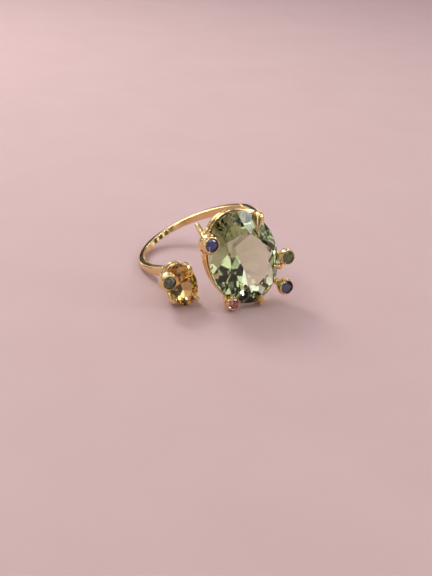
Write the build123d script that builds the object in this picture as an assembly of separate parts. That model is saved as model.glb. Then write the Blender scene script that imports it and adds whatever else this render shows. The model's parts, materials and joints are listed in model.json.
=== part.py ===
from build123d import *
from functools import lru_cache
import math
import os

# An open, adjustable cocktail ring in yellow gold, in millimetres.
#
# The ring is drawn in its own working frame: the finger runs along Y, Z goes from the finger's
# centre out through the large oval stone, and X points to the side where the band meets the head.
# The free end of the band carries a small oval stone at the other side of the gap.
# At the end every piece is laid down together, the way the ring rests on a table: +Z is up, +X
# points to the head, and the origin is under the middle of the ring, on the table.

# --- band -------------------------------------------------------------------------------------
FINGER_RADIUS = 9.4
BAND_THICKNESS = 1.2
BAND_EDGE_ROUND = 0.25
BAND_FREE_END_ANGLE = -62.0  # from +Z, the free end of the band
SHOULDER_ANGLE = 65.0  # from +Z, where the band leaves the circle and runs straight to the head
NARROW_ANGLE = -150.0  # from +Z, the side of the finger where the band is narrowest
NARROW_WIDTH = 0.9
WIDENING = 0.07  # growth of the band's width for each millimetre away from that side
BLANK_HALF_WIDTH = 3.0  # of the band before its sides are tapered
TAPER_REACH = 28.0  # size of the wedge that tapers it

# --- cut of the stones --------------------------------------------------------------------------
# Slopes are in degrees from the girdle's plane. The lower facets keep their slope all round, so an
# oval stone ends in a short keel instead of a point.
TABLE_RATIO = 0.56
LOWER_GIRDLE_SLOPE = 47.0
STEEP_SLOPE = 43.0
FLAT_SLOPE = 37.0
BREAK_RATIO = 0.32  # depth where the steep tier meets the flat one, as a share of the short half width

# --- settings -----------------------------------------------------------------------------------
# Both stones sit in a basket of two oval rails, held by round bars outside the rails. Heights are
# from the girdle. lower_inset is how much smaller the lower rail is than the upper one, all round.
HEAD = dict(
    semi_x=5.6,
    semi_y=7.3,
    crown=1.6,
    girdle=0.3,
    mains=12,
    lower_mains=16,
    outset=0.2,
    lower_inset=0.25,
    rail_width=0.55,
    rail_depth=0.6,
    rail_round=0.15,
    upper_rail_top=-0.6,
    lower_rail_top=-1.9,
    bar_radius=0.45,
    bar_outset=0.15,
    tail_radius=0.38,
    tip_radius=0.16,
)
TERMINAL = dict(
    semi_x=2.3,
    semi_y=3.3,
    crown=0.8,
    girdle=0.2,
    mains=10,
    lower_mains=12,
    outset=0.16,
    lower_inset=0.1,
    rail_width=0.4,
    rail_depth=0.45,
    rail_round=0.1,
    upper_rail_top=-0.35,
    lower_rail_top=-1.5,
    bar_radius=0.32,
    bar_outset=0.1,
    tail_radius=0.28,
    tip_radius=0.12,
)
GIRDLE_HEIGHT = 14.5  # of the centre stone, above the finger's centre
TERMINAL_CENTRE = (-9.5, -0.3, 11.4)
TERMINAL_LEAN = 10.0  # of its face, from +Z away from the head
SADDLE_WIDTH = 1.6
SADDLE_ARC = 9.0  # degrees that the saddle carries the band's inner curve on
SADDLE_END = 0.3  # where the saddle ends under the small stone, as a share of its half width

# --- hollow balls on prongs, with a round stone in each -------------------------------------------
# Angles go round the stone from +X towards +Y. cup is the distance of the ball's middle from the
# stone's centre and face the height of its flat rim. tail is the angle of the prong's lower end,
# its height, and how far it stands outside the upper rail.
HEAD_BEZELS = {
    "upper_left": dict(angle=133, cup=6.9, face=2.0, ball=1.55, stone=1.0, tail=(119, -3.6, 0.5)),
    "right": dict(angle=-26, cup=6.95, face=1.4, ball=1.28, stone=1.0, tail=(-24, -3.2, 0.1)),
    "lower_right": dict(angle=-59, cup=8.4, face=1.6, ball=1.28, stone=1.0, tail=(-61, -3.2, 0.1)),
    "lower_left": dict(angle=-129, cup=6.95, face=0.75, ball=1.15, stone=0.85, tail=(-125, -3.0, 0.1)),
}
TERMINAL_TAIL_HEIGHT = -2.15
TERMINAL_TAIL_OUTSET = 0.05
TERMINAL_BEZELS = {
    "upper_left": dict(
        angle=132,
        cup=2.6,
        face=1.9,
        ball=1.42,
        stone=0.95,
        tail=(132, TERMINAL_TAIL_HEIGHT, TERMINAL_TAIL_OUTSET),
    )
}
BALL_RIM = 0.1  # width of the flat rim round an accent stone
BALL_FOOT_RATIO = 0.55  # radius of a ball's flat foot, as a share of the ball
WELL_DEPTH = 0.95  # below an accent stone's seat
WELL_RATIO = 0.3  # radius of the well's floor, as a share of the stone
ACCENT_CROWN_RATIO = 0.3
ACCENT_MAINS = 8
ACCENT_GIRDLE = 0.1
ACCENT_RISE = 0.05  # of an accent stone's table above the rim
ACCENT_CLEARANCE = 0.02

# --- plain claws ----------------------------------------------------------------------------------
# ball is the radius of the swelling at the stone's edge, out how far its middle stands outside the
# girdle, and tip where its point lies, as a share of the way from the stone's centre to its edge.
# A claw's tail is as thick as its setting says, unless the claw has a tail_radius of its own.
HEAD_CLAWS = {
    "upper_right": dict(angle=48, ball=0.72, out=0.07, tip=0.74, tail=(58, -3.6, 0.55), tail_radius=0.16),
    "right": dict(angle=-40, ball=0.5, out=0.05, tip=0.78, tail=(-41, -2.9, 0.05)),
    "bottom": dict(angle=-90, ball=0.5, out=0.25, tip=0.86, tail=(-88, -2.8, 0.05)),
}
TERMINAL_CLAWS = {
    name: dict(
        angle=angle, ball=0.45, out=0.04, tip=0.74, tail=(angle, TERMINAL_TAIL_HEIGHT, TERMINAL_TAIL_OUTSET)
    )
    for name, angle in (("upper_right", 45), ("lower_right", -66), ("lower_left", -140))
}
CLAW_BALL_HEIGHT = 0.35  # of the swelling's middle, as a share of the crown
CLAW_TIP_HEIGHT = 0.78  # of its point, in the same way
BAR_SWELL = 1.1  # radius of a bar at the upper rail, as a share of its radius at the lower one
PRONG_SWELL = 1.3  # the same for a prong's upper end
SAME_RADIUS = 0.001  # two radii nearer than this make a cylinder

# --- how the ring lies on a table -----------------------------------------------------------------
HEAD_LIFT = 11.97  # degrees that +Z of the working frame rises above the table
SIDE_LIFT = 20.65  # degrees that +X of the working frame rises above the table


def polar(radius, degrees):
    """A point of the band's plane, at an angle from +Z towards +X."""
    return (radius * math.sin(math.radians(degrees)), radius * math.cos(math.radians(degrees)))


def ellipse_radius(semi_x, semi_y, degrees):
    """Distance from the centre to the outline of an ellipse, in one direction."""
    c = math.cos(math.radians(degrees))
    s = math.sin(math.radians(degrees))
    return 1 / math.sqrt((c / semi_x) ** 2 + (s / semi_y) ** 2)


def faceted_stone(semi_x, semi_y, crown, girdle, mains, lower_mains):
    """A mixed cut on an oval outline, its girdle centred on the XY plane. Above are a table, kites,
    stars and girdle facets, and below girdle facets, a steep tier and a flatter staggered tier."""
    half_step = math.pi / mains
    star_reach = (1 + TABLE_RATIO) / 2 / math.cos(half_step)
    top = girdle / 2 + crown
    deep = 2 * semi_x
    break_depth = BREAK_RATIO * semi_x
    break_inset = break_depth / math.tan(math.radians(STEEP_SLOPE))

    def point(radius, angle, height):
        return Vector(semi_x * radius * math.cos(angle), semi_y * radius * math.sin(angle), height)

    def on_kite(radius):
        fall = (radius * math.cos(half_step) - TABLE_RATIO) / (1 - TABLE_RATIO)
        return top - crown * fall

    def crown_cut(solid, p, q, r):
        normal = (q - p).cross(r - p).normalized()
        if normal.dot(p) < 0:
            normal = -normal
        return split(solid, bisect_by=Plane(origin=p, z_dir=normal), keep=Keep.BOTTOM)

    def lower_cut(solid, turn, inset, depth, slope):
        c, s = math.cos(turn), math.sin(turn)
        away = math.hypot(semi_x * c, semi_y * s) - inset
        tilt = math.radians(slope)
        normal = Vector(c * math.sin(tilt), s * math.sin(tilt), -math.cos(tilt))
        origin = Vector(away * c, away * s, -girdle / 2 - depth)
        return split(solid, bisect_by=Plane(origin=origin, z_dir=normal), keep=Keep.BOTTOM)

    stone = extrude(Plane.XY.offset(-deep) * Ellipse(semi_x, semi_y), deep + top)
    for k in range(mains):
        here = 2 * half_step * k
        middle = here + half_step
        after = here + 2 * half_step
        edge = point(1, here, girdle / 2)
        sideways = Vector(-semi_x * math.sin(here), semi_y * math.cos(here), 0)
        stone = crown_cut(stone, edge, point(TABLE_RATIO, here, top), edge + sideways)
        star = point(star_reach, middle, on_kite(star_reach))
        stone = crown_cut(stone, point(TABLE_RATIO, here, top), point(TABLE_RATIO, after, top), star)
        for side in (here, after):
            stone = crown_cut(stone, point(1, side, girdle / 2), point(1, middle, girdle / 2), star)
    step = 2 * math.pi / lower_mains
    for k in range(lower_mains):
        stone = lower_cut(stone, step * k, 0, 0, STEEP_SLOPE)
        stone = lower_cut(stone, step * (k + 0.5), break_inset, break_depth, FLAT_SLOPE)
        for quarter in (1, 3):
            stone = lower_cut(stone, step * (k + quarter / 4), 0, 0, LOWER_GIRDLE_SLOPE)
    return stone


def oval_rail(head, outset, top):
    """A flat oval wire with rounded edges, its top face at the given height."""
    semi_x = head["semi_x"] + outset
    semi_y = head["semi_y"] + outset
    width = head["rail_width"]
    depth = head["rail_depth"]
    outline = Ellipse(semi_x, semi_y) - Ellipse(semi_x - width, semi_y - width)
    rail = extrude(Plane.XY.offset(top - depth) * outline, depth)
    return fillet(rail.edges(), head["rail_round"])


def tapered_bar(stations):
    """A round bar through (point, radius) stations: a flat end first, then a ball at each joint."""
    bar = Part()
    for (start, start_radius), (end, end_radius) in zip(stations, stations[1:]):
        run = Vector(*end) - Vector(*start)
        plane = Plane(origin=start, z_dir=run)
        aligned = (Align.CENTER, Align.CENTER, Align.MIN)
        if math.isclose(start_radius, end_radius, abs_tol=SAME_RADIUS):
            piece = Cylinder(start_radius, run.length, align=aligned)
        else:
            piece = Cone(start_radius, end_radius, run.length, align=aligned)
        bar = bar + plane * piece + Pos(*end) * Sphere(end_radius)
    return bar


def around(radius, degrees, height):
    """A point at an angle round a stone, from +X towards +Y, with its girdle at height 0."""
    return (radius * math.cos(math.radians(degrees)), radius * math.sin(math.radians(degrees)), height)


def accent_seat(stone_radius):
    """Height of the underside of an accent stone's girdle, from the rim that it sits in."""
    return ACCENT_RISE - ACCENT_CROWN_RATIO * stone_radius - ACCENT_GIRDLE


def ball_foot(bezel):
    """Height of a ball's flat foot, from its rim."""
    ball = bezel["ball"]
    rim = bezel["stone"] + BALL_RIM
    foot_radius = BALL_FOOT_RATIO * ball
    return -math.sqrt(ball**2 - rim**2) - math.sqrt(ball**2 - foot_radius**2)


def hollow_ball(bezel):
    """A ball with a flat foot and a round stone's seat in its top, its rim at height 0.
    Returns (ball, solid blank)."""
    ball = bezel["ball"]
    rim = bezel["stone"] + BALL_RIM
    bore = bezel["stone"] + ACCENT_CLEARANCE
    seat = accent_seat(bezel["stone"])
    floor = seat - WELL_DEPTH
    foot = ball_foot(bezel)
    foot_radius = BALL_FOOT_RATIO * ball
    widest = (ball, -math.sqrt(ball**2 - rim**2))
    outside = [
        Line((0, foot), (foot_radius, foot)),
        ThreePointArc((foot_radius, foot), widest, (rim, 0)),
    ]
    inside = Polyline((rim, 0), (bore, 0), (bore, seat), (WELL_RATIO * bore, floor), (0, floor), (0, foot))
    closing = Polyline((rim, 0), (0, 0), (0, foot))
    hollow = revolve(Plane.XZ * make_face([*outside, inside]), Axis.Z)
    blank = revolve(Plane.XZ * make_face([*outside, closing]), Axis.Z)
    return hollow, blank


@lru_cache
def accent_stone(stone_radius):
    """The round stone that sits in a ball, with its table just above the rim."""
    crown = ACCENT_CROWN_RATIO * stone_radius
    mains = ACCENT_MAINS
    stone = faceted_stone(stone_radius, stone_radius, crown, ACCENT_GIRDLE, mains, mains)
    return Pos(0, 0, accent_seat(stone_radius) + ACCENT_GIRDLE / 2) * stone


def outline_radius(head, degrees):
    """Outside of a setting's rails, in one direction."""
    return ellipse_radius(head["semi_x"] + head["outset"], head["semi_y"] + head["outset"], degrees)


def bar_below(head, facts):
    """Stations of a claw or prong from its tail up past both rails."""
    angle = facts["angle"]
    tail_angle, tail_height, tail_outset = facts["tail"]
    middle_angle = (angle + tail_angle) / 2
    lower = outline_radius(head, middle_angle) + head["bar_outset"] - head["lower_inset"]
    upper = outline_radius(head, angle) + head["bar_outset"]
    tail = outline_radius(head, tail_angle) + tail_outset
    half_depth = head["rail_depth"] / 2
    return [
        (around(tail, tail_angle, tail_height), facts.get("tail_radius", head["tail_radius"])),
        (around(lower, middle_angle, head["lower_rail_top"] - half_depth), head["bar_radius"]),
        (around(upper, angle, head["upper_rail_top"] - half_depth), head["bar_radius"] * BAR_SWELL),
    ]


def plain_claw(head, claw):
    """A claw with a ball at the stone's edge and a pointed tip that lies on the crown."""
    angle, ball = claw["angle"], claw["ball"]
    edge = ellipse_radius(head["semi_x"], head["semi_y"], angle)
    stations = bar_below(head, claw)
    stations.append((around(edge + claw["out"], angle, head["crown"] * CLAW_BALL_HEIGHT), ball))
    stations.append((around(edge * claw["tip"], angle, head["crown"] * CLAW_TIP_HEIGHT), head["tip_radius"]))
    return tapered_bar(stations)


def bezel_prong(head, bezel):
    """A prong that ends at the foot of a hollow ball."""
    stations = bar_below(head, bezel)
    foot = around(bezel["cup"], bezel["angle"], bezel["face"] + ball_foot(bezel))
    stations.append((foot, head["bar_radius"] * PRONG_SWELL))
    return tapered_bar(stations)


def setting(head, claws, bezels):
    """An oval stone with two rails, plain claws and bezel prongs, its girdle at height 0.
    Returns the pieces by name."""
    cut = (head[key] for key in ("semi_x", "semi_y", "crown", "girdle", "mains", "lower_mains"))
    stone = faceted_stone(*cut)
    rails = {
        "upper_rail": oval_rail(head, head["outset"], head["upper_rail_top"]),
        "lower_rail": oval_rail(head, head["outset"] - head["lower_inset"], head["lower_rail_top"]),
    }
    pieces = {"stone": stone}
    blanks = []
    for name, bezel in bezels.items():
        seat = Pos(*around(bezel["cup"], bezel["angle"], bezel["face"]))
        ball, blank = hollow_ball(bezel)
        prong = bezel_prong(head, bezel)
        pieces[f"bezel_{name}"] = seat * ball - stone
        pieces[f"prong_{name}"] = prong - seat * blank - stone
        pieces[f"accent_stone_{name}"] = seat * accent_stone(bezel["stone"])
        blanks += [seat * blank, prong]
    for name, claw in claws.items():
        bar = plain_claw(head, claw)
        pieces[f"claw_{name}"] = bar - stone
        blanks.append(bar)
    for name, rail in rails.items():
        pieces[name] = rail - blanks
    return pieces


def band_taper():
    """A wedge whose flat sides give the band its width, narrowest at one side of the finger."""
    narrow = polar(FINGER_RADIUS + BAND_THICKNESS, NARROW_ANGLE)
    inward = polar(1, NARROW_ANGLE + 180)
    frame = Plane(
        origin=(narrow[0], 0, narrow[1]),
        x_dir=(inward[0], 0, inward[1]),
        z_dir=(inward[1], 0, -inward[0]),
    )
    slope = WIDENING / 2
    near = NARROW_WIDTH / 2 - slope
    far = NARROW_WIDTH / 2 + TAPER_REACH * slope
    outline = Polyline((-1, -near), (TAPER_REACH, -far), (TAPER_REACH, far), (-1, near), close=True)
    return extrude(frame * make_face(outline), TAPER_REACH, both=True)


def shank(head_floor):
    """The band: an arc from the free end round under the finger, then straight up to the head."""
    under = (BAND_FREE_END_ANGLE + SHOULDER_ANGLE) / 2 + 180
    rise = polar(1, SHOULDER_ANGLE - 90)
    sides = []
    for radius in (FINGER_RADIUS, FINGER_RADIUS + BAND_THICKNESS):
        foot = polar(radius, SHOULDER_ANGLE)
        run = (head_floor - foot[1]) / rise[1]
        top = (foot[0] + run * rise[0], head_floor)
        end = polar(radius, BAND_FREE_END_ANGLE)
        sides.append((end, ThreePointArc(end, polar(radius, under), foot), Line(foot, top), top))
    (end_in, arc_in, line_in, top_in), (end_out, arc_out, line_out, top_out) = sides
    outline = [arc_in, line_in, Line(top_in, top_out), line_out, arc_out, Line(end_out, end_in)]
    blank = extrude(Plane.XZ * make_face(outline), BLANK_HALF_WIDTH, both=True)
    band = blank & band_taper()
    outside = band.faces().filter_by(GeomType.CYLINDER).sort_by(SortBy.AREA)[-1]
    rims = [edge for edge in outside.edges() if edge.length > FINGER_RADIUS]
    return fillet(rims, BAND_EDGE_ROUND)


def terminal_frame():
    """The small setting's own plane: its girdle, facing out past the band's free end."""
    lean = math.radians(TERMINAL_LEAN)
    return Plane(
        origin=TERMINAL_CENTRE,
        x_dir=(math.cos(lean), 0, math.sin(lean)),
        z_dir=(-math.sin(lean), 0, math.cos(lean)),
    )


def terminal_saddle(frame):
    """The block between the band's free end and the small setting's lower rail."""
    floor = TERMINAL["lower_rail_top"] - TERMINAL["rail_depth"]
    outer = TERMINAL["semi_x"] + TERMINAL["outset"]
    left = frame.from_local_coords((-outer, 0, floor))
    right = frame.from_local_coords((-SADDLE_END * outer, 0, floor))
    inner_start = polar(FINGER_RADIUS, BAND_FREE_END_ANGLE)
    inner_middle = polar(FINGER_RADIUS, BAND_FREE_END_ANGLE + SADDLE_ARC / 2)
    inner_end = polar(FINGER_RADIUS, BAND_FREE_END_ANGLE + SADDLE_ARC)
    outer_start = polar(FINGER_RADIUS + BAND_THICKNESS, BAND_FREE_END_ANGLE)
    outline = [
        ThreePointArc(inner_start, inner_middle, inner_end),
        Line(inner_end, (right.X, right.Z)),
        Line((right.X, right.Z), (left.X, left.Z)),
        Line((left.X, left.Z), outer_start),
        Line(outer_start, inner_start),
    ]
    face = Plane.XZ * make_face(outline)
    return extrude(face, SADDLE_WIDTH / 2, both=True)


def ring_pieces():
    """Every piece of the ring in the working frame, by node name."""
    renamed = {
        "stone": "centre_stone",
        "lower_rail": "gallery_lower_rail",
        "upper_rail": "gallery_upper_rail",
    }
    nodes = {}
    for name, solid in setting(HEAD, HEAD_CLAWS, HEAD_BEZELS).items():
        nodes[renamed.get(name, name)] = Pos(0, 0, GIRDLE_HEIGHT) * solid
    frame = terminal_frame()
    for name, solid in setting(TERMINAL, TERMINAL_CLAWS, TERMINAL_BEZELS).items():
        nodes[f"terminal_{name}"] = frame.location * solid
    nodes["terminal_saddle"] = terminal_saddle(frame)
    nodes["shank"] = shank(GIRDLE_HEIGHT + HEAD["lower_rail_top"] - HEAD["rail_depth"])
    return nodes


def table_frame():
    """Turns the working frame into the ring's resting pose."""
    rise_x = math.sin(math.radians(SIDE_LIFT))
    rise_z = math.sin(math.radians(HEAD_LIFT))
    up = Vector(rise_x, math.sqrt(1 - rise_x**2 - rise_z**2), rise_z)
    to_head = Vector(0, 0, 1) - up * rise_z
    return Plane(origin=(0, 0, 0), x_dir=to_head, z_dir=up).location.inverse()


def laid_down(nodes):
    """Lays the ring on the table, with the origin under the middle of its box."""
    frame = table_frame()
    turned = {name: frame * solid for name, solid in nodes.items()}
    boxes = [solid.bounding_box() for solid in turned.values()]
    middle_x = (min(box.min.X for box in boxes) + max(box.max.X for box in boxes)) / 2
    middle_y = (min(box.min.Y for box in boxes) + max(box.max.Y for box in boxes)) / 2
    shift = Pos(-middle_x, -middle_y, -min(box.min.Z for box in boxes))
    return {name: shift * solid for name, solid in turned.items()}


def write_parts():
    os.makedirs("parts", exist_ok=True)
    for name, solid in laid_down(ring_pieces()).items():
        export_step(solid, f"parts/{name}.step")


if __name__ == "__main__":
    write_parts()
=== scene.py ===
import json
import math

import bmesh
import bpy
from mathutils import Matrix, Quaternion, Vector


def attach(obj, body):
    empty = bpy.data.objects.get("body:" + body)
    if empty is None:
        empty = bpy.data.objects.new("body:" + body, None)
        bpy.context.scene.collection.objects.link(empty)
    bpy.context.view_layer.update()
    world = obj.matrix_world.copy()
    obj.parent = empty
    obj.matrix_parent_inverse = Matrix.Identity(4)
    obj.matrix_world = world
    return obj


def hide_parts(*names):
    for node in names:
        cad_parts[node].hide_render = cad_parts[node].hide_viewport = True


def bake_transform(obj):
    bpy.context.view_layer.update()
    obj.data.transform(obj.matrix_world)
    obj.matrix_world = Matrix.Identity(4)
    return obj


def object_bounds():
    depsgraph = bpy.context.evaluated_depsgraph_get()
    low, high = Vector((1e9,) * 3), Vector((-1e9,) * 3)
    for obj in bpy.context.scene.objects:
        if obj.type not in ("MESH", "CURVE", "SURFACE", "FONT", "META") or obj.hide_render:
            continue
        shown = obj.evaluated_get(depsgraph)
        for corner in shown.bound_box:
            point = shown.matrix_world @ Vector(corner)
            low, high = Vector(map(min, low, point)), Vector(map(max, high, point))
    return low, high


# The looks of an open cocktail ring in yellow gold. Shapes are worked out in millimetres in the
# ring's working frame: the finger runs along Y, Z goes from the finger's centre out through the
# large stone, and X points to the side where the band meets the head.

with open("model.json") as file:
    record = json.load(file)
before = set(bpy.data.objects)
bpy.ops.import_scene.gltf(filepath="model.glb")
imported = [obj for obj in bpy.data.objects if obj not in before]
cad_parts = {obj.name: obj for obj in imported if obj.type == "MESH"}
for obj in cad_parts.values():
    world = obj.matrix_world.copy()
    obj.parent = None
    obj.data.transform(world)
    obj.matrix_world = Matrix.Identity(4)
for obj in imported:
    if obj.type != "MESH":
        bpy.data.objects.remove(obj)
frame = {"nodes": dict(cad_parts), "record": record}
cad_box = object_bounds()
nodes = frame["nodes"]

HEAD_BODY = "head_and_band"
FREE_BODY = "free_end"

# --- sizes shared with the CAD model, in millimetres and degrees --------------------------------
FINGER_RADIUS = 9.4
BAND_THICKNESS = 1.2
BAND_FREE_END_ANGLE = -62.0
SHOULDER_ANGLE = 65.0
NARROW_ANGLE = -150.0
NARROW_WIDTH = 0.9
WIDENING = 0.07
SADDLE_WIDTH = 1.6
SADDLE_ARC = 9.0
SADDLE_END = 0.3
GIRDLE_HEIGHT = 14.5
TERMINAL_CENTRE = (-9.5, -0.3, 11.4)
TERMINAL_LEAN = 10.0

HEAD = dict(
    semi_x=5.6, semi_y=7.3, crown=1.6, outset=0.2, lower_inset=0.25,
    rail_width=0.55, rail_depth=0.6, rail_round=0.2, upper_rail_top=-0.6, lower_rail_top=-1.9,
    bar_radius=0.45, bar_outset=0.15, tail_radius=0.38, tip_radius=0.16,
)
HEAD_BEZELS = {
    "upper_left": dict(angle=133, cup=6.9, face=2.0, ball=1.55, stone=1.0, tail=(119, -3.6, 0.5)),
    "right": dict(angle=-26, cup=6.95, face=1.4, ball=1.28, stone=1.0, tail=(-24, -3.2, 0.1)),
    "lower_right": dict(angle=-59, cup=8.4, face=1.6, ball=1.28, stone=1.0, tail=(-61, -3.2, 0.1)),
    "lower_left": dict(angle=-129, cup=6.95, face=0.75, ball=1.15, stone=0.85, tail=(-125, -3.0, 0.1)),
}
HEAD_CLAWS = {
    "upper_right": dict(angle=48, ball=0.72, out=0.07, tip=0.74, tail=(58, -3.6, 0.55), tail_radius=0.16),
    "right": dict(angle=-40, ball=0.5, out=0.05, tip=0.78, tail=(-41, -2.9, 0.05)),
    "bottom": dict(angle=-90, ball=0.5, out=0.25, tip=0.86, tail=(-88, -2.8, 0.05)),
}
TERMINAL = dict(
    semi_x=2.3, semi_y=3.3, crown=0.8, outset=0.16, lower_inset=0.1,
    rail_width=0.4, rail_depth=0.45, rail_round=0.15, upper_rail_top=-0.35, lower_rail_top=-1.5,
    bar_radius=0.32, bar_outset=0.1, tail_radius=0.28, tip_radius=0.12,
)
TERMINAL_TAIL = (-2.15, 0.05)  # height and outset
TERMINAL_BEZELS = {
    "upper_left": dict(angle=132, cup=2.6, face=1.9, ball=1.42, stone=0.95, tail=(132, *TERMINAL_TAIL)),
}
TERMINAL_CLAWS = {
    name: dict(angle=angle, ball=0.45, out=0.04, tip=0.74, tail=(angle, *TERMINAL_TAIL))
    for name, angle in (("upper_right", 45), ("lower_right", -66), ("lower_left", -140))
}
BALL_RIM = 0.1
BALL_FOOT_RATIO = 0.55
WELL_DEPTH = 0.95
WELL_RATIO = 0.3
ACCENT_CROWN_RATIO = 0.3
ACCENT_GIRDLE = 0.1
ACCENT_RISE = 0.05

# --- soft shapes, which the CAD model simplifies ---------------------------------------------------
BAR_SWELL = 1.05  # radius of a bar at the upper rail, as a share of its own
CLAW_LIFTS = (0.35, 0.62, 0.8)  # heights of a claw's ball, waist and tip, as shares of the crown
CLAW_WAIST = 0.7  # radius at the waist, as a share of the ball's
PRONG_SWELL = 1.25  # the same where a prong enters its ball
PRONG_OVERLAP = 0.1  # how far a prong runs into its ball
HEAD_OVERLAP = 0.15  # how far the band runs into the lower rail
SEAT_CLEARANCE = 0.02  # round an accent stone
FOOT_ROUND = 0.1  # softening of a hollow ball's foot
RIM_ROUND = 0.04  # the same for its rim and the bottom of its well
SEAT_ROUND = 0.02  # the same for the seat's edges
INNER_EDGE = 0.18  # softening of the band's inner edges, as a share of half its width
OUTER_EDGE = 0.34  # the same for its outer edges
BAND_CROWN = 0.1  # fall of the band's outer face at its edges, as a share of its thickness
BAND_STRETCH = 0.25  # longest straight stretch of the band's section, as a share of half its width
ARC_SHARE = 0.8  # of the band's sections, spent on the arc
SADDLE_ROUND = 0.12
# (position, size) of the saddle's sections, from one side to the other
SADDLE_SECTIONS = (
    (-1, 0.86), (-0.97, 0.93), (-0.9, 0.98), (-0.8, 1), (0.8, 1), (0.9, 0.98), (0.97, 0.93), (1, 0.86),
)

# --- surfaces: sizes are in features for each metre -----------------------------------------------
COLOUR_PATCHES = 450  # slow changes in the gold's colour
WEAR_PATCHES = 900  # changes in its gloss
POLISHING_MARKS = 5000
MARKS_STRETCH = (1, 1, 0.06)  # polishing marks run along one way
COLOUR_ZONES = 700  # in a stone
STONE_GLOSS = 3000
STONE_POLISH = 1100
STONE_POLISH_STRENGTH = 0.15
MARK_DEPTH = 0.00001  # metres
FLOOR_PATCHES = 60
FLOOR_COLOURS = (0.550, 0.380, 0.395), (0.565, 0.395, 0.410)
FLOOR_ROUGHNESS = 0.75
NOISE_RANGE = (0.3, 0.7)  # the noise values that make up most of a pattern

# --- mesh detail ---------------------------------------------------------------------------------
ROUND_STEPS = 40  # points round a bar
SPAN_STEPS = 14  # rings between two stations of a bar
OVAL_STEPS = 240  # sections round a rail
CUP_STEPS = 96  # sections round a hollow ball
BALL_STEPS = 36  # points up the side of a hollow ball
CORNER_STEPS = 8  # points round a corner of a section
END_LIFTS = (15, 30, 45, 60, 75, 88)  # degrees of the rings that round off a bar's end
AXIS_GAP = 0.001  # radius of the first ring of a turned shape
BAND_STEPS = 260  # sections along the band
SADDLE_STEPS = 6  # stretches of the saddle's edge on the band
SADDLE_CORNER_STEPS = 4
FLOOR_SIDES = 96
FLOOR_RADIUS = 3.0  # metres

# --- room and lights: directions are in the row frame -----------------------------------------------
ROOM_DARK = (0.035, 0.030, 0.028)
ROOM_PALE = (1.35, 1.32, 1.25)
ROOM_PATCHES = 6.0  # noise scale of the room's pale and dark areas
ROOM_EDGE = (0.495, 0.56)  # noise values where a dark area ends and a pale one starts
WALL_COLOUR = (0.62, 0.50, 0.47)  # the plain wall behind the floor
MIX_FACTOR, MIX_FIRST, MIX_SECOND, MIX_RESULT = 0, 6, 7, 2  # sockets of a node that mixes colours
DARK_SIDE = (0.77, -0.44, 0.45)  # the side of the room that is darkest
DARK_SHADE = (0.34, 0.32, 0.30)
DARK_EDGE = (0.70, 0.92)  # cosines of the angles where that side starts and is darkest
# (name, direction, distance, width and height, watts, colour); sizes are in metres
SOFT_LIGHTS = (
    ("key", (-0.72, -0.22, 0.75), 0.36, (0.13, 0.17), 0.62, (1.0, 0.97, 0.92)),
    ("fill", (0.5, 0.9, 0.8), 0.40, (0.14, 0.14), 0.22, (0.96, 0.98, 1.0)),
)
SPARKLE_LIGHTS = 20
SPARKLE_DISTANCE = 0.50
SPARKLE_SIZE = (0.018, 0.018)
SPARKLE_POWER = 0.045
SPARKLE_LIFTS = (28, 50, 72)  # degrees above the floor, in turn
SPARKLE_START = 0.3  # turn of the first one, as a share of the step between two

# --- camera ---------------------------------------------------------------------------------------
CAMERA_AZIMUTH = 60.15
CAMERA_ELEVATION = 27.14
CAMERA_ROLL = 5.36
CAMERA_DISTANCE = 0.1339  # from the finger's centre, in metres
CAMERA_PAN = (0.00266, -0.00806)  # right and down, so that the ring stands left of the middle and high
CAMERA_LENS = 51.5


# --- frames ---------------------------------------------------------------------------------------
def working_frame(record):
    """From the ring's working frame in millimetres to the row frame in metres."""
    finger = record["mounts"][0]
    y_axis = Vector(finger["axis"]).normalized()
    z_axis = Vector((y_axis.z, 0, -y_axis.x)).normalized()
    x_axis = y_axis.cross(z_axis)
    turn = Matrix((x_axis, y_axis, z_axis)).transposed().to_4x4()
    return Matrix.Translation(finger["pos_m"]) @ turn @ Matrix.Scale(0.001, 4)


RING = working_frame(frame["record"])
HEAD_FRAME = RING @ Matrix.Translation((0, 0, GIRDLE_HEIGHT))
TERMINAL_FRAME = (
    RING @ Matrix.Translation(TERMINAL_CENTRE) @ Matrix.Rotation(math.radians(-TERMINAL_LEAN), 4, "Y")
)


# --- mesh helpers ---------------------------------------------------------------------------------
def polar(radius, degrees):
    """X and Z of a point of the band's plane, at an angle from +Z towards +X."""
    return radius * math.sin(math.radians(degrees)), radius * math.cos(math.radians(degrees))


def around(radius, degrees, height):
    """A point at an angle round a stone, from +X towards +Y, with its girdle at height 0."""
    angle = math.radians(degrees)
    return Vector((radius * math.cos(angle), radius * math.sin(angle), height))


def ellipse_radius(semi_x, semi_y, degrees):
    """Distance from the centre to the outline of an ellipse, in one direction."""
    c, s = math.cos(math.radians(degrees)), math.sin(math.radians(degrees))
    return 1 / math.hypot(c / semi_x, s / semi_y)


def rounded(corners, radius, steps=6, closed=True):
    """A 2-D outline with each corner replaced by a curve. Radius is one number or one per corner."""
    points = []
    count = len(corners)
    radii = radius if isinstance(radius, (list, tuple)) else [radius] * count
    for i, corner in enumerate(corners):
        here = Vector(corner)
        if radii[i] == 0 or (not closed and i in (0, count - 1)):
            points.append(here)
            continue
        before = Vector(corners[i - 1]) - here
        after = Vector(corners[(i + 1) % count]) - here
        start = here + before.normalized() * min(radii[i], before.length * 0.49)
        end = here + after.normalized() * min(radii[i], after.length * 0.49)
        for k in range(steps + 1):
            t = k / steps
            points.append(start * (1 - t) ** 2 + here * (2 * t * (1 - t)) + end * t**2)
    return points


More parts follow.
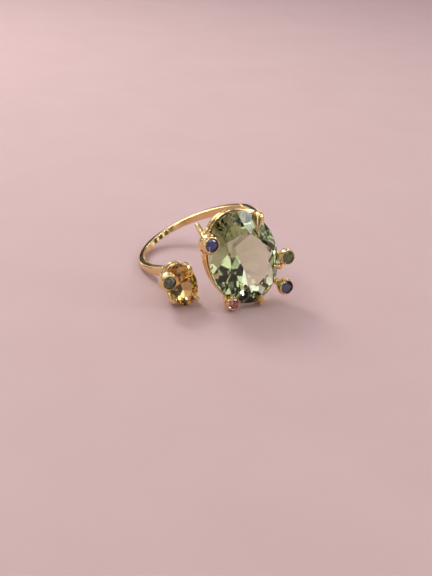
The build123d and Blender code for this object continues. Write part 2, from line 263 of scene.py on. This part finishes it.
def loft(name, rings, matrix, loop=False):
    """A smooth mesh through closed rings of points, with its two ends capped unless it is a loop."""
    count = len(rings[0])
    verts = [matrix @ point for ring in rings for point in ring]
    faces = []
    spans = len(rings) if loop else len(rings) - 1
    for i in range(spans):
        a = i * count
        b = ((i + 1) % len(rings)) * count
        for k in range(count):
            n = (k + 1) % count
            faces.append((a + k, a + n, b + n, b + k))
    if not loop:
        faces.append(tuple(reversed(range(count))))
        faces.append(tuple(range((len(rings) - 1) * count, len(rings) * count)))
    mesh = bpy.data.meshes.new(name)
    mesh.from_pydata(verts, [], faces)
    mesh.validate()
    obj = bpy.data.objects.new(name, mesh)
    bpy.context.scene.collection.objects.link(obj)
    face_outwards(mesh)
    mesh.shade_smooth()
    return obj


def face_outwards(mesh):
    """Turns every face outwards, so that glass and metal shade the right way."""
    b = bmesh.new()
    b.from_mesh(mesh)
    bmesh.ops.recalc_face_normals(b, faces=b.faces)
    b.to_mesh(mesh)
    b.free()


def smooth_line(values, steps):
    """Catmull-Rom points through the values, which are vectors."""
    line = []
    padded = [values[0] * 2 - values[1], *values, values[-1] * 2 - values[-2]]
    for a, b, c, d in zip(padded, padded[1:], padded[2:], padded[3:]):
        for k in range(steps):
            t = k / steps
            square = (2 * a - 5 * b + 4 * c - d) * t**2
            cube = (3 * b - a - 3 * c + d) * t**3
            line.append(0.5 * (2 * b + (c - a) * t + square + cube))
    line.append(values[-1])
    return line


def end_rings(outward, radius):
    """(shift, radius) of the rings that round off a bar's end, from its side to its tip."""
    rings = []
    for degrees in END_LIFTS:
        lift = math.radians(degrees)
        rings.append((outward * radius * math.sin(lift), radius * math.cos(lift)))
    return rings


def bar(name, stations, matrix):
    """A smooth round bar through (centre, radius) stations, with rounded ends."""
    packed = smooth_line([Vector((*centre, radius)) for centre, radius in stations], SPAN_STEPS)
    centres = [Vector(p[:3]) for p in packed]
    radii = [p[3] for p in packed]
    last = len(centres) - 1
    rings = []
    side = (centres[1] - centres[0]).orthogonal().normalized()
    for i, (centre, radius) in enumerate(zip(centres, radii)):
        run = (centres[min(i + 1, last)] - centres[max(i - 1, 0)]).normalized()
        side = (side - run * side.dot(run)).normalized()
        other = run.cross(side)
        here = [(Vector((0, 0, 0)), radius)]
        if i == last:
            here += end_rings(run, radius)
        if i == 0:
            here = end_rings(-run, radius)[::-1] + here
        for shift, r in here:
            rings.append([
                centre + shift + (side * math.cos(a) + other * math.sin(a)) * r
                for a in (2 * math.pi * k / ROUND_STEPS for k in range(ROUND_STEPS))
            ])
    return loft(name, rings, matrix)


def turned(name, profile, seat, matrix):
    """A shape turned about a seat's Z axis from a closed (radius, height) profile."""
    rings = []
    for k in range(CUP_STEPS):
        a = 2 * math.pi * k / CUP_STEPS
        rings.append([seat + Vector((p.x * math.cos(a), p.x * math.sin(a), p.y)) for p in profile])
    return loft(name, rings, matrix, loop=True)


# --- pieces of a setting ---------------------------------------------------------------------------
def outline_radius(head, degrees):
    """Outside of a setting's rails, in one direction."""
    return ellipse_radius(head["semi_x"] + head["outset"], head["semi_y"] + head["outset"], degrees)


def rail(name, head, outset, top, matrix):
    """An oval wire with soft edges."""
    width, depth = head["rail_width"], head["rail_depth"]
    corners = [(0, 0), (0, -depth), (-width, -depth), (-width, 0)]
    section = rounded(corners, head["rail_round"], CORNER_STEPS)
    semi_x, semi_y = head["semi_x"] + outset, head["semi_y"] + outset
    rings = []
    for k in range(OVAL_STEPS):
        a = 2 * math.pi * k / OVAL_STEPS
        rings.append([
            Vector(((semi_x + p.x) * math.cos(a), (semi_y + p.x) * math.sin(a), top + p.y)) for p in section
        ])
    return loft(name, rings, matrix, loop=True)


def bar_below(head, facts):
    """Stations of a claw or prong from its tail up past both rails."""
    angle = facts["angle"]
    tail_angle, tail_height, tail_outset = facts["tail"]
    middle = (angle + tail_angle) / 2
    lower = outline_radius(head, middle) + head["bar_outset"] - head["lower_inset"]
    upper = outline_radius(head, angle) + head["bar_outset"]
    tail = outline_radius(head, tail_angle) + tail_outset
    half = head["rail_depth"] / 2
    return [
        (around(tail, tail_angle, tail_height), facts.get("tail_radius", head["tail_radius"])),
        (around(lower, middle, head["lower_rail_top"] - half), head["bar_radius"]),
        (around(upper, angle, head["upper_rail_top"] - half), head["bar_radius"] * BAR_SWELL),
    ]


def claw(name, head, facts, matrix):
    """A claw that swells to a drop at the stone's edge and comes to a point on the crown."""
    angle, ball, crown = facts["angle"], facts["ball"], head["crown"]
    edge = ellipse_radius(head["semi_x"], head["semi_y"], angle)
    waist = (1 + facts["tip"]) / 2
    stations = bar_below(head, facts)
    stations += [
        (around(edge + facts["out"], angle, crown * CLAW_LIFTS[0]), ball),
        (around(edge * waist, angle, crown * CLAW_LIFTS[1]), ball * CLAW_WAIST),
        (around(edge * facts["tip"], angle, crown * CLAW_LIFTS[2]), head["tip_radius"]),
    ]
    return bar(name, stations, matrix)


def ball_foot(bezel):
    """Height of a ball's middle and of its flat foot, from its rim."""
    rim = bezel["stone"] + BALL_RIM
    middle = -math.sqrt(bezel["ball"] ** 2 - rim**2)
    return middle, middle - bezel["ball"] * math.sqrt(1 - BALL_FOOT_RATIO**2)


def prong(name, head, bezel, matrix):
    """A prong that ends inside the foot of a hollow ball."""
    stations = bar_below(head, bezel)
    foot = bezel["face"] + ball_foot(bezel)[1]
    end = around(bezel["cup"], bezel["angle"], foot + PRONG_OVERLAP)
    stations.append((end, head["bar_radius"] * PRONG_SWELL))
    return bar(name, stations, matrix)


def hollow_ball(name, bezel, matrix):
    """A ball with a bright-cut rim round the seat of its accent stone."""
    stone, ball = bezel["stone"], bezel["ball"]
    middle, foot = ball_foot(bezel)
    rim, bore = stone + BALL_RIM, stone + SEAT_CLEARANCE
    seat = ACCENT_RISE - ACCENT_CROWN_RATIO * stone - ACCENT_GIRDLE
    floor = seat - WELL_DEPTH
    start, end = -math.acos(BALL_FOOT_RATIO), math.acos(rim / ball)
    curve = [start + (end - start) * k / BALL_STEPS for k in range(1, BALL_STEPS)]
    corners = [
        (AXIS_GAP, foot), (ball * BALL_FOOT_RATIO, foot),
        *((ball * math.cos(a), middle + ball * math.sin(a)) for a in curve),
        (rim, 0), (bore, -SEAT_CLEARANCE), (bore, seat), (WELL_RATIO * bore, floor), (AXIS_GAP, floor),
    ]
    radii = [0, FOOT_ROUND, *([0] * len(curve)), RIM_ROUND, SEAT_ROUND, SEAT_ROUND, RIM_ROUND, 0]
    seat_place = around(bezel["cup"], bezel["angle"], bezel["face"])
    return turned(name, rounded(corners, radii), seat_place, matrix)


# --- band ------------------------------------------------------------------------------------------
def band_half_width(x, z):
    """Half of the band's width, which grows away from its narrow side."""
    narrow_x, narrow_z = polar(FINGER_RADIUS + BAND_THICKNESS, NARROW_ANGLE)
    in_x, in_z = polar(1, NARROW_ANGLE + 180)
    return (NARROW_WIDTH + WIDENING * ((x - narrow_x) * in_x + (z - narrow_z) * in_z)) / 2


def band_section():
    """(across, out) points of the band's section: across runs from -1 to 1, out from 0 to 1."""
    corners = [(-1, 0), (1, 0), (1, 1), (-1, 1)]
    outline = rounded(corners, [INNER_EDGE, INNER_EDGE, OUTER_EDGE, OUTER_EDGE], CORNER_STEPS)
    points = []
    for p, q in zip(outline, outline[1:] + outline[:1]):
        pieces = max(1, round((q - p).length / BAND_STRETCH))
        for k in range(pieces):
            s = p.lerp(q, k / pieces)
            fall = BAND_CROWN * s.x**2 if s.y > 0.5 else 0
            points.append(Vector((s.x, s.y * (1 - fall))))
    return points


def band_line(radius, share):
    """X and Z at a share of the band's length: round under the finger, then straight to the head."""
    arc = 360 - SHOULDER_ANGLE + BAND_FREE_END_ANGLE
    head_floor = GIRDLE_HEIGHT + HEAD["lower_rail_top"] - HEAD["rail_depth"] + HEAD_OVERLAP
    if share <= ARC_SHARE:
        return polar(radius, BAND_FREE_END_ANGLE - arc * share / ARC_SHARE)
    foot = polar(radius, SHOULDER_ANGLE)
    rise = polar(1, SHOULDER_ANGLE - 90)
    run = (head_floor - foot[1]) / rise[1] * (share - ARC_SHARE) / (1 - ARC_SHARE)
    return foot[0] + run * rise[0], foot[1] + run * rise[1]


def band(matrix):
    """The band, with soft edges and a slightly crowned outer face."""
    section = band_section()
    rings = []
    for i in range(BAND_STEPS + 1):
        ring = []
        for p in section:
            x, z = band_line(FINGER_RADIUS + p.y * BAND_THICKNESS, i / BAND_STEPS)
            ring.append(Vector((x, p.x * band_half_width(x, z), z)))
        rings.append(ring)
    return loft("band", rings, matrix)


def saddle(matrix):
    """The block between the band's free end and the small setting, with soft edges."""
    to_ring = RING.inverted() @ TERMINAL_FRAME
    floor = TERMINAL["lower_rail_top"] - TERMINAL["rail_depth"]
    outer = TERMINAL["semi_x"] + TERMINAL["outset"]
    left = to_ring @ Vector((-outer, 0, floor))
    right = to_ring @ Vector((-SADDLE_END * outer, 0, floor))
    arc = [
        polar(FINGER_RADIUS, BAND_FREE_END_ANGLE + SADDLE_ARC * k / SADDLE_STEPS)
        for k in range(SADDLE_STEPS + 1)
    ]
    band_corner = polar(FINGER_RADIUS + BAND_THICKNESS, BAND_FREE_END_ANGLE)
    corners = [*arc, (right.x, right.z), (left.x, left.z), band_corner]
    outline = rounded(corners, SADDLE_ROUND, SADDLE_CORNER_STEPS)
    middle = sum(outline, Vector((0, 0))) / len(outline)
    rings = []
    for side, size in SADDLE_SECTIONS:
        ring = [middle.lerp(p, size) for p in outline]
        rings.append([Vector((p.x, side * SADDLE_WIDTH / 2, p.y)) for p in ring])
    return loft("saddle", rings, matrix)


# --- materials --------------------------------------------------------------------------------------
def new_material(name):
    """A new material, its node tree and its main shader."""
    material = bpy.data.materials.new(name)
    material.use_nodes = True
    return material, material.node_tree, material.node_tree.nodes["Principled BSDF"]


def noise(tree, scale, detail=3.0, stretch=(1, 1, 1)):
    """Noise over the object's own coordinates, with its scale in features for each metre."""
    coordinates = tree.nodes.new("ShaderNodeTexCoord")
    mapping = tree.nodes.new("ShaderNodeMapping")
    mapping.inputs["Scale"].default_value = stretch
    texture = tree.nodes.new("ShaderNodeTexNoise")
    texture.inputs["Scale"].default_value = scale
    texture.inputs["Detail"].default_value = detail
    tree.links.new(coordinates.outputs["Object"], mapping.inputs["Vector"])
    tree.links.new(mapping.outputs["Vector"], texture.inputs["Vector"])
    return texture.outputs["Fac"]


def ramp(tree, source, low, high, start=0.35, end=0.65):
    """A colour or grey ramp over a source value."""
    node = tree.nodes.new("ShaderNodeValToRGB")
    node.color_ramp.elements[0].position = start
    node.color_ramp.elements[1].position = end
    node.color_ramp.elements[0].color = (*low, 1)
    node.color_ramp.elements[1].color = (*high, 1)
    tree.links.new(source, node.inputs["Fac"])
    return node.outputs["Color"]


def spread(tree, source, low, high):
    """Maps a noise value to a range."""
    node = tree.nodes.new("ShaderNodeMapRange")
    node.inputs["From Min"].default_value = NOISE_RANGE[0]
    node.inputs["From Max"].default_value = NOISE_RANGE[1]
    node.inputs["To Min"].default_value = low
    node.inputs["To Max"].default_value = high
    tree.links.new(source, node.inputs["Value"])
    return node.outputs["Result"]


def bump(tree, source, strength):
    """Small hills and hollows from a noise value."""
    node = tree.nodes.new("ShaderNodeBump")
    node.inputs["Distance"].default_value = MARK_DEPTH
    node.inputs["Strength"].default_value = strength
    tree.links.new(source, node.inputs["Height"])
    return node.outputs["Normal"]


def gold(name, low, high, smooth, rough, scratch):
    """Polished yellow gold: slightly uneven colour, soft wear and fine polishing marks."""
    material, tree, shader = new_material(name)
    shader.inputs["Metallic"].default_value = 1.0
    tree.links.new(ramp(tree, noise(tree, COLOUR_PATCHES), low, high), shader.inputs["Base Color"])
    tree.links.new(spread(tree, noise(tree, WEAR_PATCHES, 6), smooth, rough), shader.inputs["Roughness"])
    marks = noise(tree, POLISHING_MARKS, 4, MARKS_STRETCH)
    tree.links.new(bump(tree, marks, scratch), shader.inputs["Normal"])
    return material


def gem(name, low, high, ior, absorb, density):
    """A clear coloured stone: faint colour zones, fine polishing marks, and colour that deepens
    with the depth of the stone."""
    material, tree, shader = new_material(name)
    shader.inputs["Transmission Weight"].default_value = 1.0
    shader.inputs["IOR"].default_value = ior
    tree.links.new(ramp(tree, noise(tree, COLOUR_ZONES), low, high), shader.inputs["Base Color"])
    tree.links.new(spread(tree, noise(tree, STONE_GLOSS, 5), 0.0, 0.02), shader.inputs["Roughness"])
    polish = bump(tree, noise(tree, STONE_POLISH, 2), STONE_POLISH_STRENGTH)
    tree.links.new(polish, shader.inputs["Normal"])
    volume = tree.nodes.new("ShaderNodeVolumeAbsorption")
    volume.inputs["Color"].default_value = (*absorb, 1)
    volume.inputs["Density"].default_value = density
    tree.links.new(volume.outputs["Volume"], tree.nodes["Material Output"].inputs["Volume"])
    return material


def matte(name, low, high):
    """A pale, even, matt surface."""
    material, tree, shader = new_material(name)
    tree.links.new(ramp(tree, noise(tree, FLOOR_PATCHES), low, high), shader.inputs["Base Color"])
    shader.inputs["Roughness"].default_value = FLOOR_ROUGHNESS
    return material


def dress(obj, material):
    """Gives a CAD node or a new piece its material."""
    obj.data.materials.clear()
    obj.data.materials.append(material)


# --- scene ------------------------------------------------------------------------------------------
POLISHED = gold(
    "polished_gold", (0.88, 0.62, 0.28), (0.94, 0.70, 0.36), smooth=0.04, rough=0.10, scratch=0.04
)
WORN = gold("worn_gold", (0.85, 0.60, 0.28), (0.91, 0.67, 0.35), smooth=0.08, rough=0.14, scratch=0.08)
GEMS = {
    "centre_stone": gem(
        "pale_green_gem", (0.95, 0.99, 0.92), (1.0, 1.0, 0.98),
        ior=1.60, absorb=(0.53, 0.66, 0.20), density=100,
    ),
    "terminal_stone": gem(
        "yellow_gem", (1.0, 0.92, 0.50), (1.0, 0.98, 0.66),
        ior=1.66, absorb=(1.0, 0.74, 0.06), density=260,
    ),
    "blue": gem(
        "blue_gem", (0.40, 0.58, 0.95), (0.60, 0.76, 1.0),
        ior=2.1, absorb=(0.12, 0.26, 0.64), density=1200,
    ),
    "green": gem(
        "green_gem", (0.66, 0.80, 0.56), (0.80, 0.94, 0.70),
        ior=2.0, absorb=(0.38, 0.50, 0.30), density=1000,
    ),
    "pink": gem(
        "pink_gem", (1.0, 0.66, 0.72), (1.0, 0.78, 0.82),
        ior=1.9, absorb=(0.96, 0.50, 0.62), density=400,
    ),
}
ACCENTS = {
    "accent_stone_upper_left": "blue",
    "accent_stone_right": "green",
    "accent_stone_lower_right": "blue",
    "accent_stone_lower_left": "pink",
    "terminal_accent_stone_upper_left": "green",
}


def place(obj, body, node, material=POLISHED):
    """A new piece of metal that stands for a CAD node and moves with its body."""
    dress(obj, material)
    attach(obj, body)
    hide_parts(node)


def build_setting(head, bezels, claws, prefix, rails, body, matrix):
    """Rails, claws, prongs and hollow balls of one stone."""
    upper, lower = rails
    place(rail(f"{upper}_wire", head, head["outset"], head["upper_rail_top"], matrix), body, upper)
    lower_outset = head["outset"] - head["lower_inset"]
    place(rail(f"{lower}_wire", head, lower_outset, head["lower_rail_top"], matrix), body, lower)
    for name, facts in claws.items():
        node = f"{prefix}claw_{name}"
        place(claw(f"{node}_drop", head, facts, matrix), body, node)
    for name, facts in bezels.items():
        node = f"{prefix}prong_{name}"
        place(prong(f"{node}_bar", head, facts, matrix), body, node)
        node = f"{prefix}bezel_{name}"
        place(hollow_ball(f"{node}_ball", facts, matrix), body, node)


def build_band():
    """The band, fixed in the row frame and on neither body because the real band bends between the head and
    its free end when the ring is opened, and the saddle on the free end.
    """
    piece = band(RING)
    dress(piece, WORN)
    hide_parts("shank")
    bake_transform(piece)
    place(saddle(RING), FREE_BODY, "terminal_saddle")


def build_floor():
    """A wide pale floor, level with the lowest point of the ring."""
    lowest = cad_box[0].z
    rim = [2 * math.pi * k / FLOOR_SIDES for k in range(FLOOR_SIDES)]
    mesh = bpy.data.meshes.new("floor")
    verts = [(FLOOR_RADIUS * math.cos(a), FLOOR_RADIUS * math.sin(a), lowest) for a in rim]
    mesh.from_pydata(verts, [], [tuple(range(FLOOR_SIDES))])
    floor = bpy.data.objects.new("floor", mesh)
    bpy.context.scene.collection.objects.link(floor)
    dress(floor, matte("floor_paint", *FLOOR_COLOURS))


def area_light(name, direction, distance, size, power, colour):
    """A soft oval light that faces the ring."""
    data = bpy.data.lights.new(name, "AREA")
    data.shape = "ELLIPSE"
    data.size, data.size_y = size
    data.energy = power
    data.color = colour
    lamp = bpy.data.objects.new(name, data)
    bpy.context.scene.collection.objects.link(lamp)
    away = Vector(direction).normalized()
    lamp.location = away * distance
    lamp.rotation_mode = "QUATERNION"
    lamp.rotation_quaternion = (-away).to_track_quat("-Z", "Y")


def build_lights():
    """Two soft lights, and a dome of small ones for the stones to sparkle in."""
    for light in SOFT_LIGHTS:
        area_light(*light)
    for i in range(SPARKLE_LIGHTS):
        turn = 2 * math.pi * (i + SPARKLE_START) / SPARKLE_LIGHTS
        lift = math.radians(SPARKLE_LIFTS[i % len(SPARKLE_LIFTS)])
        direction = (math.cos(turn) * math.cos(lift), math.sin(turn) * math.cos(lift), math.sin(lift))
        area_light(f"sparkle_{i}", direction, SPARKLE_DISTANCE, SPARKLE_SIZE, SPARKLE_POWER, (1, 1, 1))


def colour_mix(tree, blend):
    """A node that mixes two colours."""
    node = tree.nodes.new("ShaderNodeMix")
    node.data_type = "RGBA"
    node.blend_type = blend
    return node


def room_colour(tree):
    """Soft pale and dark areas all round, darkest on one side."""
    coordinates = tree.nodes.new("ShaderNodeTexCoord")
    patches = tree.nodes.new("ShaderNodeTexNoise")
    patches.inputs["Scale"].default_value = ROOM_PATCHES
    patches.inputs["Detail"].default_value = 2.0
    tree.links.new(coordinates.outputs["Generated"], patches.inputs["Vector"])
    facing = tree.nodes.new("ShaderNodeVectorMath")
    facing.operation = "DOT_PRODUCT"
    facing.inputs[1].default_value = Vector(DARK_SIDE).normalized()
    tree.links.new(coordinates.outputs["Generated"], facing.inputs[0])
    areas = ramp(tree, patches.outputs["Fac"], ROOM_DARK, ROOM_PALE, *ROOM_EDGE)
    shade = ramp(tree, facing.outputs["Value"], (1, 1, 1), DARK_SHADE, *DARK_EDGE)
    room = colour_mix(tree, "MULTIPLY")
    room.inputs[MIX_FACTOR].default_value = 1.0
    tree.links.new(areas, room.inputs[MIX_FIRST])
    tree.links.new(shade, room.inputs[MIX_SECOND])
    return room.outputs[MIX_RESULT]


def build_world():
    """A room that the metal and stones mirror, with a plain wall behind the floor in its place."""
    world = bpy.data.worlds.new("studio")
    bpy.context.scene.world = world
    world.use_nodes = True
    tree = world.node_tree
    wall = colour_mix(tree, "MIX")
    rays = tree.nodes.new("ShaderNodeLightPath")
    tree.links.new(rays.outputs["Is Camera Ray"], wall.inputs[MIX_FACTOR])
    tree.links.new(room_colour(tree), wall.inputs[MIX_FIRST])
    wall.inputs[MIX_SECOND].default_value = (*WALL_COLOUR, 1)
    tree.links.new(wall.outputs[MIX_RESULT], tree.nodes["Background"].inputs["Color"])


def build_camera():
    """A camera that looks at the finger's centre, moved aside and down by the pan."""
    camera = bpy.data.objects.new("camera", bpy.data.cameras.new("camera"))
    bpy.context.scene.collection.objects.link(camera)
    azimuth, elevation = math.radians(CAMERA_AZIMUTH), math.radians(CAMERA_ELEVATION)
    level = math.cos(elevation)
    back = Vector((math.sin(azimuth) * level, -math.cos(azimuth) * level, math.sin(elevation)))
    turn = (-back).to_track_quat("-Z", "Y") @ Quaternion((0, 0, 1), math.radians(CAMERA_ROLL))
    pan = turn @ Vector((*CAMERA_PAN, 0))
    camera.location = RING.translation + back * CAMERA_DISTANCE + pan
    camera.rotation_mode = "QUATERNION"
    camera.rotation_quaternion = turn
    camera.data.lens = CAMERA_LENS
    camera.data.clip_start = 0.005
    camera.data.clip_end = 10
    bpy.context.scene.camera = camera


build_setting(
    HEAD, HEAD_BEZELS, HEAD_CLAWS, "", ("gallery_upper_rail", "gallery_lower_rail"), HEAD_BODY, HEAD_FRAME
)
build_setting(
    TERMINAL, TERMINAL_BEZELS, TERMINAL_CLAWS, "terminal_",
    ("terminal_upper_rail", "terminal_lower_rail"), FREE_BODY, TERMINAL_FRAME,
)
build_band()
for name in ("centre_stone", "terminal_stone"):
    dress(nodes[name], GEMS[name])
for name, colour in ACCENTS.items():
    dress(nodes[name], GEMS[colour])
build_floor()
build_world()
build_lights()
build_camera()
bpy.context.scene.view_settings.view_transform = "Standard"

bpy.context.view_layer.update()
